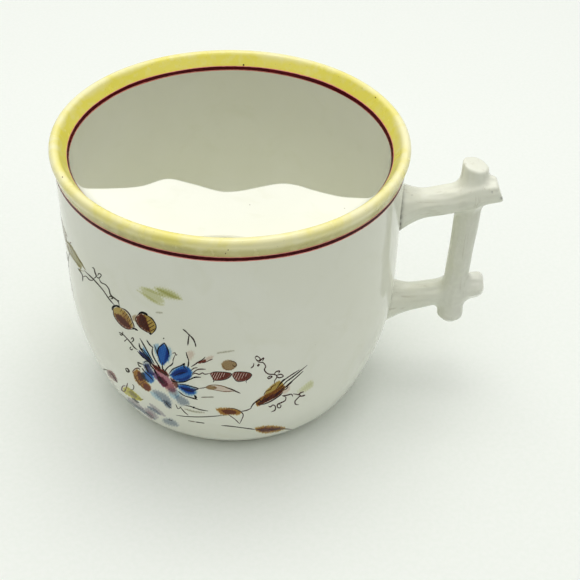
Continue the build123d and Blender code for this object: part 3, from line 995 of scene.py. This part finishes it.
# round the left side, which the picture doesn't show: millimetres round the wall from +X, and down from the
# table's level, so a height of 60 is -60
side_net = (136.0, -68.0), (165.6, -34.0), 0.2
side_shapes = rows_of("""
olive 0.8 0.8 167,-57.3 162,-57.6 157.5,-59.4 154,-61.6 158,-61.8 163,-61.7 167,-61
moss 0.4 0.9 165,-58.6 160,-59.2 156.5,-60.8 161,-60.8 165,-60
sage 0.8 0.8 155,-43 151,-41 145,-42 150,-45.4 155,-45
blush 0.8 0.8 158,-38 161,-35.6 162,-38.6 160,-41
""")
side_paths = rows_of("""
umber 0.34 167,-57.1 162,-57.2 157.4,-59 152,-61.4 145,-64.6 / 167,-61.4 163,-62 158,-62.2 151,-64.4
 147,-66.4
umber 0.3 158,-60.8 152,-62.6 144,-66.2 / 166.6,-57.2 165,-58.2 164.8,-60.2 166,-61.4
umber 0.28 170.6,-57.4 169,-58.4 168.8,-60.6 170,-61.6 / 163,-57.5 161.6,-58.8 161.6,-60.8 162.6,-61.8
umber 0.26 159.8,-58.4 158.6,-59.6 158.8,-61.2 159.6,-62 / 156.8,-59.8 156,-60.8 156.4,-62
grey 0.3 167.6,-57 164.4,-53 161.2,-48 159.4,-43.6 160.4,-40.4 160,-37.4
grey 0.26 160.4,-46 156.6,-44.4 151,-43.2 145.4,-42.2 / 163,-51 159.4,-50.8 157.4,-49 158.6,-47.6 160,-48.6
 159,-50
""")

# iron specks on the rim: pigment, width, and a path
rim_specks = rows_of("""
black 1.5 242.8,64.9 244.3,65.1
umber 1 61.9,176.8 63,177.4
umber 0.9 227.6,249.9 228.6,250.1 / 225,253.4 226.1,253.7
umber 1 375,97.3 376.1,97.9
""")

# how far paint stands proud of the glaze, in millimetres. Lines have a rail on each side and in the middle
wash_lift = 0.018
line_lift = (0.014, 0.04, 0.014)
speck_lift = (0.0, 0.04, 0.0)

# a wash: its ragged edge, how full it is, its grain, and the least density that counts
ragged_edge = 0.22
wash_fill = 0.9
grain_size = 0.13
least_density = 0.004
stroke_softness = 0.6
stroke_ends = 0.03, 0.97

# points along a path between two of its knots
outline_steps, stroke_steps, line_steps = 8, 12, 7

# a line: its taper and width at the tips, and the wobble of its width
line_boldness = 1.25
line_taper = 4
tip_share = 0.35
wobble_size = 0.12
wobble_turn = 9


def traced(tree, starts, directions):
    """Where rays meet a surface, and the direction that it faces there. Misses are NaN."""
    places, away = np.full((2, len(starts), 3), np.nan)
    for i, (start, direction) in enumerate(zip(starts, directions)):
        hit, faces_to, _, _ = tree.ray_cast(Vector(start), Vector(direction).normalized())
        if hit is not None:
            places[i] = np.array(hit) / MM
            away[i] = faces_to
    return places, away


def in_picture(tree):
    """A finder of the places that the camera sees at pixels of the picture."""

    def find(pixels):
        x, y = ((np.asarray(pixels) - picture_middle) / focal_pixels).T
        sights = np.array(camera_forward) + np.outer(x, camera_right) - np.outer(y, camera_up)
        return traced(tree, np.tile(camera_location, (len(x), 1)), sights)

    return find


def round_wall(tree):
    """A finder of the places at lengths round the wall from +X, and at depths below the table's level."""

    def find(lengths):
        round_by, depth = np.asarray(lengths).T
        angle = round_by / wall_radius
        outward = np.column_stack([np.cos(angle), np.sin(angle), 0 * angle])
        starts = outward * 2 * wall_radius - np.outer(depth, [0, 0, 1])
        return traced(tree, starts * MM, -outward)

    return find


def pigment(name):
    """A pigment's colour in linear light, never quite black."""
    return np.maximum(srgb(*pigments[name])[:3], least_density)


class Washes:
    """Thin paint laid stroke over stroke on a fine net of points."""

    def __init__(self, low, high, step):
        self.x, self.y = np.meshgrid(np.arange(low[0], high[0], step), np.arange(low[1], high[1], step))
        self.density = np.zeros(self.x.shape + (3,))

    def lay(self, name, strength, path, reach, edge):
        """Lays one pigment. edge turns the distance to the path, and the nearest place on it, into depth."""
        low, high = path.min(0) - reach, path.max(0) + reach
        rows = (self.y[:, 0] > low[1]) & (self.y[:, 0] < high[1])
        columns = (self.x[0] > low[0]) & (self.x[0] < high[0])
        window = np.ix_(rows, columns)
        x, y = self.x[window], self.y[window]
        gaps = np.hypot(x[..., None] - path[:, 0], y[..., None] - path[:, 1])
        depth = edge(x, y, gaps.min(-1), gaps.argmin(-1) / (len(path) - 1))
        # the waves' numbers are radians for each pixel
        depth = depth + ragged_edge * np.sin(1.9 * x + 0.6 * y) * np.sin(1.3 * y - 0.5 * x + 0.7)
        cover = np.clip(depth, 0, 1)
        cover = cover * cover * (3 - 2 * cover)
        grain = np.sin(2.3 * x + 1.1 * y) * np.sin(0.9 * x - 1.7 * y + 1.0) + 0.6 * np.sin(3.7 * x - 0.8 * y)
        laid = strength * cover * np.clip(wash_fill + grain_size * grain, 0, 1)
        self.density[window] -= laid[..., None] * np.log(pigment(name))

    def shape(self, name, strength, soft, outline):
        """A soft patch inside a closed outline."""
        knots = np.reshape(outline, (-1, 2))
        path = smooth_curve(np.vstack([knots, knots[:1]]), outline_steps)

        def edge(x, y, gap, _):
            inside = np.zeros(x.shape, bool)
            for (ax, ay), (bx, by) in zip(path[:-1], path[1:]):
                if ay != by:
                    inside ^= ((ay > y) != (by > y)) & (x < (bx - ax) * (y - ay) / (by - ay) + ax)
            return 0.5 + np.where(inside, gap, -gap) / soft

        self.lay(name, strength, path, soft, edge)

    def stroke(self, name, strength, width, knots):
        """A soft stroke that swells in its middle."""
        path = smooth_curve(np.reshape(knots, (-1, 2)), stroke_steps)

        def edge(x, y, gap, share):
            half = width / 2 * np.sqrt(np.sin(np.clip(share, *stroke_ends) * math.pi))
            return (half + stroke_softness - gap) / (stroke_softness * (half + 1))

        self.lay(name, strength, path, width, edge)


def build_washes(title, net_size, shapes, strokes, find):
    """Tints of the spray: a film of glaze just proud of the cup, painted where a pigment lies."""
    net = Washes(*net_size)
    for name, strength, soft, outline in shapes:
        net.shape(name, strength, soft, outline)
    for name, strength, width, path in strokes:
        net.stroke(name, strength, width, path)
    rows, columns = net.x.shape
    corner = (np.arange(rows - 1)[:, None] * columns + np.arange(columns - 1)).ravel()
    quads = np.stack([corner, corner + columns, corner + columns + 1, corner + 1], -1)
    density = net.density.reshape(-1, 3)
    used, quads = in_use(quads[(density.max(1)[quads] > least_density).any(1)])
    places, away = find(np.column_stack([net.x.ravel(), net.y.ravel()])[used])
    hit, quads = in_use(quads[~np.isnan(places[quads]).any((1, 2))])
    piece = make_mesh(title, (places + away * wash_lift)[hit], quads)
    painted = np.ones(len(hit))
    paint(piece, "wash", np.column_stack([np.exp(-density[used][hit]), painted]))
    mark(piece, "washed", painted)
    return place(piece, "porcelain")


def seed_hatching():
    """Crossed lines, light and dark, over the two seeds."""
    paths = []
    for start, end, (drop_a, drop_b) in seed_hatches:
        for share in np.linspace(0, 1, hatch_count):
            top = np.array(start) * (1 - share) + np.array(end) * share
            drop = drop_a + (drop_b - drop_a) * math.sin(share * math.pi)
            paths.append((*light_hatch, np.array([top, top + [-drop * hatch_slant, drop]])))
            paths.append((*dark_hatch, np.array([top + dark_shift, top + [drop * hatch_slant, drop]])))
    return paths


def build_lines(title, paths, lifts, find):
    """Crisp lines: slightly raised ribbons of enamel that taper at both ends."""
    points, faces, colours = [], [], []
    for name, width, knots in paths:
        centre = smooth_curve(np.reshape(knots, (-1, 2)), line_steps)
        ahead = np.gradient(centre, axis=0)
        ahead /= np.maximum(np.linalg.norm(ahead, axis=1), tiny)[:, None]
        side = np.column_stack([-ahead[:, 1], ahead[:, 0]])
        share = np.linspace(0, 1, len(centre))
        from_tip = np.minimum(share, 1 - share)
        half = line_boldness * width / 2 * np.clip(line_taper * from_tip + tip_share, 0, 1)
        half *= 1 + wobble_size * np.sin(wobble_turn * share + len(points))  # no two lines wobble alike
        rails = [find(centre + side * (half * sign)[:, None]) for sign in (-1, 0, 1)]
        seen = ~np.isnan(np.hstack([rail[0] for rail in rails])).any(1)
        if seen.sum() < 3:
            continue
        first = sum(len(run) for run in points)
        for (places, away), lift in zip(rails, lifts):
            points.append((places + away * lift)[seen])
        count = int(seen.sum())
        rail = np.arange(count - 1)
        for low, high in ((0, 1), (1, 2)):
            a, b = first + low * count + rail, first + high * count + rail
            faces.append(np.stack([a, a + 1, b + 1, b], -1))
        colours.append(np.tile(np.append(pigment(name), 1.0), (3 * count, 1)))
    piece = make_mesh(title, np.vstack(points), np.vstack(faces))
    paint(piece, "ink", np.vstack(colours))
    return place(piece, "maroon_enamel")


# ---------------------------------------------------------------- materials

# Each look starts from a base colour. Ranges turn noise, attributes and distances into shares of what is laid
# over it. Colours are given as they look on a screen.


class Look:
    """A procedural material, built node by node."""

    def __init__(self, name):
        self.material = bpy.data.materials.new(name)
        self.material.use_nodes = True
        self.tree = self.material.node_tree
        self.tree.nodes.clear()
        self.output = self.tree.nodes.new("ShaderNodeOutputMaterial")
        self.coordinates = self.tree.nodes.new("ShaderNodeTexCoord").outputs["Object"]

    def node(self, kind, settings=None, **inputs):
        """A node with its settings and inputs, which may be values or other nodes' outputs.

        An input goes by its name, with underscores for spaces, or by its number: i0, i1 and so on.
        """
        made = self.tree.nodes.new("ShaderNode" + kind)
        for key, value in (settings or {}).items():
            setattr(made, key, value)
        for key, value in inputs.items():
            socket = made.inputs[int(key[1:]) if key[1:].isdigit() else key.replace("_", " ")]
            if isinstance(value, bpy.types.NodeSocket):
                self.tree.links.new(value, socket)
            else:
                socket.default_value = value
        return made

    def noise(self, scale, detail=3.0, roughness=0.5, distortion=0.0, stretch=None):
        """Noise between 0 and 1. Its scale is in features per metre."""
        where = self.coordinates
        if stretch:
            where = self.node("Mapping", Vector=where, Scale=stretch).outputs[0]
        numbers = {"Scale": scale, "Detail": detail, "Roughness": roughness, "Distortion": distortion}
        return self.node("TexNoise", Vector=where, **numbers).outputs["Fac"]

    def range(self, value, low, high, to_low=0.0, to_high=1.0):
        """value carried from one range to another, and held at its ends."""
        kind = {"interpolation_type": "SMOOTHSTEP"}
        return self.node("MapRange", kind, i0=value, i1=low, i2=high, i3=to_low, i4=to_high).outputs[0]

    def attribute(self, name, output="Fac"):
        """A number or colour that the piece carries at each point."""
        return self.node("Attribute", {"attribute_name": name}).outputs[output]

    def math(self, operation, a, b=0.0):
        """Arithmetic on two values."""
        return self.node("Math", {"operation": operation}, i0=a, i1=b).outputs[0]

    def times(self, a, b):
        """The product of two values."""
        return self.math("MULTIPLY", a, b)

    def mix(self, factor, a, b, kind="MIX"):
        """Two colours mixed by a factor."""
        return self.node("Mix", {"data_type": "RGBA", "blend_type": kind}, i0=factor, i6=a, i7=b).outputs[2]

    def finish(self, **inputs):
        """Joins a shader to the output."""
        self.tree.links.new(self.node("BsdfPrincipled", **inputs).outputs[0], self.output.inputs[0])
        return self.material


def srgb(red, green, blue):
    """A colour given as it looks on a screen, 0 to 255, in the shader's own linear values."""
    shares = [channel / 255 for channel in (red, green, blue)]
    linear = [c / 12.92 if c <= 0.04045 else ((c + 0.055) / 1.055) ** 2.4 for c in shares]
    return (*linear, 1.0)


def glaze_bump(look, strength=0.35):
    """The glaze's own surface: slow waves and a fine orange peel."""
    waves = {"Height": look.noise(55, 2.0, 0.4), "Strength": 0.25 * strength, "Distance": 0.0012}
    peel = {"Height": look.noise(900, 2.0, 0.5), "Strength": 0.12 * strength, "Distance": 0.0002}
    return look.node("Bump", Normal=look.node("Bump", **waves).outputs[0], **peel).outputs[0]


def porcelain_colour(look):
    """White porcelain: a little warmer here and there, with rare iron specks."""
    cloud = look.range(look.noise(24, 3.0, 0.55), 0.35, 0.7)
    clean = look.mix(cloud, srgb(239, 240, 225), srgb(243, 244, 232))
    streak = look.range(look.noise(90, 4.0, 0.6, 0.6), 0.52, 0.75)
    clouded = look.mix(look.times(streak, 0.35), clean, srgb(231, 232, 211))
    cell = look.node("TexVoronoi", {"feature": "F1"}, Vector=look.coordinates, Scale=170.0, Randomness=1.0)
    rare = look.range(look.node("SeparateColor", i0=cell.outputs["Color"]).outputs[0], 0.93, 0.95)
    dot = look.range(cell.outputs["Distance"], 0.045, 0.02)
    speck = look.times(look.times(dot, rare), 0.5)
    return look.mix(speck, clouded, srgb(120, 100, 75))


def porcelain_look():
    """The glazed body: porcelain colour, bare foot, darkening in the seams, painted shade on the handle and
    painted washes.
    """
    look = Look("glazed_porcelain")
    colour = porcelain_colour(look)
    # darkening of the handle's seams and chips, and its painted shade, all towards one dark colour
    darkening_and_painted_shade = look.times(look.attribute("darkening_and_painted_shade"), look.range(look.noise(700, 3.0), 0.25, 0.6, 0.5, 1.0))
    colour = look.mix(darkening_and_painted_shade, colour, srgb(50, 46, 32))
    for name, stretch in (("streaked_along_x", (0.1, 1.0, 1.0)), ("streaked_along_z", (1.0, 1.0, 0.1))):
        lines = look.range(look.noise(620, 4.0, 0.65, 0.3, stretch), 0.56, 0.72)
        faint_lines = look.times(look.times(lines, look.attribute(name)), 0.34)
        colour = look.mix(faint_lines, colour, srgb(150, 138, 100))
    biscuit = look.mix(look.noise(1500, 4.0), srgb(214, 203, 182), srgb(190, 176, 150))
    bare = look.attribute("bare")
    colour = look.mix(bare, colour, biscuit)
    tint = look.mix(look.attribute("washed"), (1, 1, 1, 1), look.attribute("wash", "Color"))
    colour = look.mix(1.0, colour, tint, "MULTIPLY")
    gloss = look.range(look.noise(120, 3.0), 0.3, 0.7, 0.035, 0.08)
    rough = look.node("Mix", {"data_type": "FLOAT"}, i0=bare, i2=gloss, i3=0.75).outputs[0]
    return look.finish(
        Base_Color=colour, Roughness=rough, IOR=1.5, Normal=glaze_bump(look),
        Specular_IOR_Level=0.3, Specular_Tint=tint,
    )


def yellow_look():
    """Brushed yellow enamel, pooled and stronger towards its edges, with a painted highlight as pale colour
    on the crest and painted shade on its lower outside.
    """
    look = Look("yellow_enamel")
    across = look.attribute("across")
    pool_in = look.range(across, 0.52, 0.86)
    pool_out = look.range(across, 0.30, 0.02)
    pool = look.math("ADD", look.times(pool_in, 0.9), look.times(pool_out, 0.35))
    strokes = look.range(look.noise(75, 4.0, 0.6, 0.5), 0.38, 0.64)
    patches = look.range(look.noise(24, 2.0, 0.5), 0.38, 0.62, -0.12, 0.22)
    brushed = look.math("ADD", patches, look.times(strokes, 0.55))
    yellow_share = look.math("MAXIMUM", look.math("MINIMUM", look.math("ADD", pool, brushed), 1.0), 0.0)
    # between the pools, on the crest, the pale colour is a painted highlight
    colour = look.mix(yellow_share, srgb(250, 244, 194), srgb(241, 229, 88))
    # painted shade: the band's lower outside is dulled towards olive
    painted_shade_low_outside = look.times(look.range(across, 0.34, 0.16), look.range(strokes, 0.0, 1.0, 0.75, 1.0))
    colour = look.mix(painted_shade_low_outside, colour, srgb(190, 182, 112))
    mottle = look.range(look.noise(420, 3.0, 0.6), 0.45, 0.75)
    colour = look.mix(look.times(mottle, 0.25), colour, srgb(246, 240, 190))
    fleck = look.range(look.noise(1900, 2.0), 0.72, 0.78)
    colour = look.mix(look.times(fleck, 0.5), colour, srgb(120, 104, 60))
    return look.finish(
        Base_Color=colour, Roughness=look.range(look.noise(300, 3.0), 0.3, 0.7, 0.16, 0.28), IOR=1.5,
        Normal=glaze_bump(look, 0.8),
    )


def maroon_look():
    """Maroon enamel, a little thinner here and there, with a thin pink bleed along both edges."""
    look = Look("maroon_enamel")
    thin = look.range(look.noise(260, 3.0, 0.6), 0.5, 0.8)
    across = look.attribute("across")
    from_edge = look.math("MINIMUM", across, look.math("SUBTRACT", 1.0, across))
    ragged = look.math("ADD", from_edge, look.range(look.noise(900, 2.0), 0.3, 0.7, -0.02, 0.02))
    deep = look.mix(thin, srgb(66, 0, 6), srgb(96, 6, 14))
    colour = look.mix(look.range(ragged, 0.15, 0.2), srgb(240, 146, 134), deep)
    return look.finish(
        Base_Color=colour, Roughness=look.range(look.noise(500, 2.0), 0.3, 0.7, 0.18, 0.3), IOR=1.5,
        Normal=glaze_bump(look, 0.6), Specular_IOR_Level=0.06,
    )


def line_look():
    """Drawn enamel lines: each has its own pigment, a little thinner here and there."""
    look = Look("line_enamel")
    thin = look.range(look.noise(900, 3.0, 0.6), 0.5, 0.85)
    colour = look.mix(look.times(thin, 0.25), look.attribute("ink", "Color"), srgb(150, 128, 108))
    return look.finish(Base_Color=colour, Roughness=0.35, IOR=1.45, Specular_IOR_Level=0.05)


# ---------------------------------------------------------------- the object

lip_top = Lip(0.0)
lip_under = Lip(0.5)
porcelain = porcelain_look()
yellow = yellow_look()
maroon = maroon_look()

body = build_body()
guard = build_guard()
handle = build_handle()
band, outer_line, inner_line = build_enamel()
glaze_tree, band_tree = (
    BVHTree.FromPolygons([v.co for v in piece.data.vertices], [f.vertices for f in piece.data.polygons])
    for piece in (body, band)
)
front = in_picture(glaze_tree)
side = round_wall(glaze_tree)
front_washes = build_washes("painted_washes", front_net, wash_shapes, wash_strokes, front)
side_washes = build_washes("painted_washes_side", side_net, side_shapes, [], side)
front_lines = build_lines("painted_lines", drawn_paths + seed_hatching(), line_lift, front)
side_lines = build_lines("painted_lines_side", side_paths, line_lift, side)
specks = build_lines("rim_specks", rim_specks, speck_lift, in_picture(band_tree))
line_enamel = line_look()
for material, pieces in (
    (porcelain, (front_washes, side_washes, body, guard, handle)),
    (line_enamel, (front_lines, side_lines, specks)),
    (yellow, (band,)), (maroon, (outer_line, inner_line)),
):
    for piece in pieces:
        piece.data.materials.append(material)

# ---------------------------------------------------------------- floor, light and camera

floor_size = 1.7
half = floor_size / 2
floor = bpy.data.objects.new("floor", bpy.data.meshes.new("floor"))
floor_corners = [(-half, -half, 0), (half, -half, 0), (half, half, 0), (-half, half, 0)]
floor.data.from_pydata(floor_corners, [], [(0, 1, 2, 3)])
bpy.context.scene.collection.objects.link(floor)
paper = Look("pale_paper")
fibre = paper.range(paper.noise(800, 4.0), 0.3, 0.7)
sheet_colour = paper.mix(fibre, srgb(244, 248, 243), srgb(247, 250, 246))
floor.data.materials.append(paper.finish(Base_Color=sheet_colour, Roughness=0.7, Specular_IOR_Level=0.2))


def soft_light(name, place_at, aim, size, power, colour):
    """A large soft lamp pointed at a place."""
    data = bpy.data.lights.new(name, "AREA")
    data.shape = "RECTANGLE"
    data.size, data.size_y = size
    data.energy = power
    data.color = colour
    lamp = bpy.data.objects.new(name, data)
    lamp.location = place_at
    lamp.rotation_euler = (Vector(aim) - Vector(place_at)).to_track_quat("-Z", "Y").to_euler()
    bpy.context.scene.collection.objects.link(lamp)


soft_light("sky_panel", (0.0, 0.12, 1.0), (0.0, 0.12, 0.0), (2.9, 2.5), 23.2, (1.0, 1.0, 0.98))
soft_light("soft_box", (0.0, 0.14, 0.95), (0.0, 0.0, 0.05), (0.6, 0.5), 2.6, (1.0, 0.99, 0.96))

# the camera, reflections and what shows through see a pale room, and all other rays a dim one
world = bpy.data.worlds.new("studio")
bpy.context.scene.world = world
world.use_nodes = True
sky = world.node_tree
dim_room = sky.nodes["Background"]
dim_room.inputs["Color"].default_value = (0.94, 1.0, 0.93, 1.0)
dim_room.inputs["Strength"].default_value = 0.04
pale_room = sky.nodes.new("ShaderNodeBackground")
pale_room.inputs["Color"].default_value = (0.93, 0.97, 0.94, 1.0)
pale_room.inputs["Strength"].default_value = 0.85
light_path = sky.nodes.new("ShaderNodeLightPath")
seen = light_path.outputs["Is Camera Ray"]
for other in ("Is Glossy Ray", "Is Transmission Ray"):
    either = sky.nodes.new("ShaderNodeMath")
    either.operation = "MAXIMUM"
    sky.links.new(seen, either.inputs[0])
    sky.links.new(light_path.outputs[other], either.inputs[1])
    seen = either.outputs[0]
seen_or_dim = sky.nodes.new("ShaderNodeMixShader")
sky.links.new(seen, seen_or_dim.inputs[0])
sky.links.new(dim_room.outputs[0], seen_or_dim.inputs[1])
sky.links.new(pale_room.outputs[0], seen_or_dim.inputs[2])
sky.links.new(seen_or_dim.outputs[0], sky.nodes["World Output"].inputs[0])

camera_data = bpy.data.cameras.new("camera")
camera_data.lens = camera_lens
camera_data.sensor_width = camera_sensor
camera_data.clip_start = 0.01
camera = bpy.data.objects.new("camera", camera_data)
turned_to = Matrix((camera_right, camera_up, -camera_forward)).transposed().to_4x4()
camera.matrix_world = Matrix.Translation(camera_location) @ turned_to
bpy.context.scene.collection.objects.link(camera)
bpy.context.scene.camera = camera
bpy.context.scene.view_settings.view_transform = "Standard"
